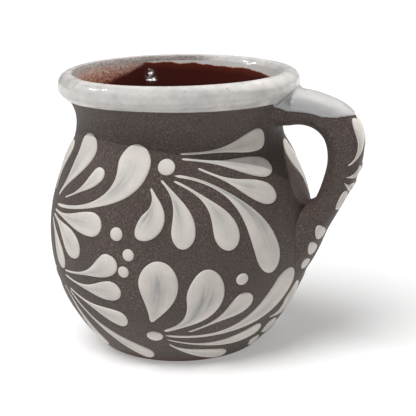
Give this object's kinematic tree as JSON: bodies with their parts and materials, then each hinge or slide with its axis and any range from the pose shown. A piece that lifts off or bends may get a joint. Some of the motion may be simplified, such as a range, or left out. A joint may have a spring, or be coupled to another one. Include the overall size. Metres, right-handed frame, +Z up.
{
  "type": "jarrito clay mug",
  "caption": "Round-bellied clay mug with a flared lip and a pulled strap handle, lined with brown glaze and decorated with fans of brushed white slip strokes.",
  "frame": {"origin": "centre of the flat foot, on the surface that the mug stands on", "axes": "+Z up through the mouth, +X towards the handle, -Y towards the painted front seen in the picture"},
  "size_m": [0.114, 0.0942, 0.1],
  "materials": {
    "clay": "matte, fine sandy grain",
    "white_slip": "satin to glossy, faint blue-grey streaks",
    "brown_glaze": "high gloss"
  },
  "bodies": {
    "root": {"body": "clay", "handle": "clay", "inner_glaze": "brown_glaze", "rim_slip": "white_slip", "handle_slip": "white_slip", "front_upper_fan": "white_slip", "front_lower_fan": "white_slip", "left_upper_fan": "white_slip", "left_lower_fan": "white_slip", "right_lower_fan": "white_slip", "front_dots": "white_slip", "back_upper_fan": "white_slip", "back_lower_fan": "white_slip", "right_upper_fan": "white_slip", "rear_right_fan": "white_slip", "rear_left_fan": "white_slip", "back_dots": "white_slip", "handle_strokes": "white_slip", "handle_dots": "white_slip"}
  },
  "joints": []
}
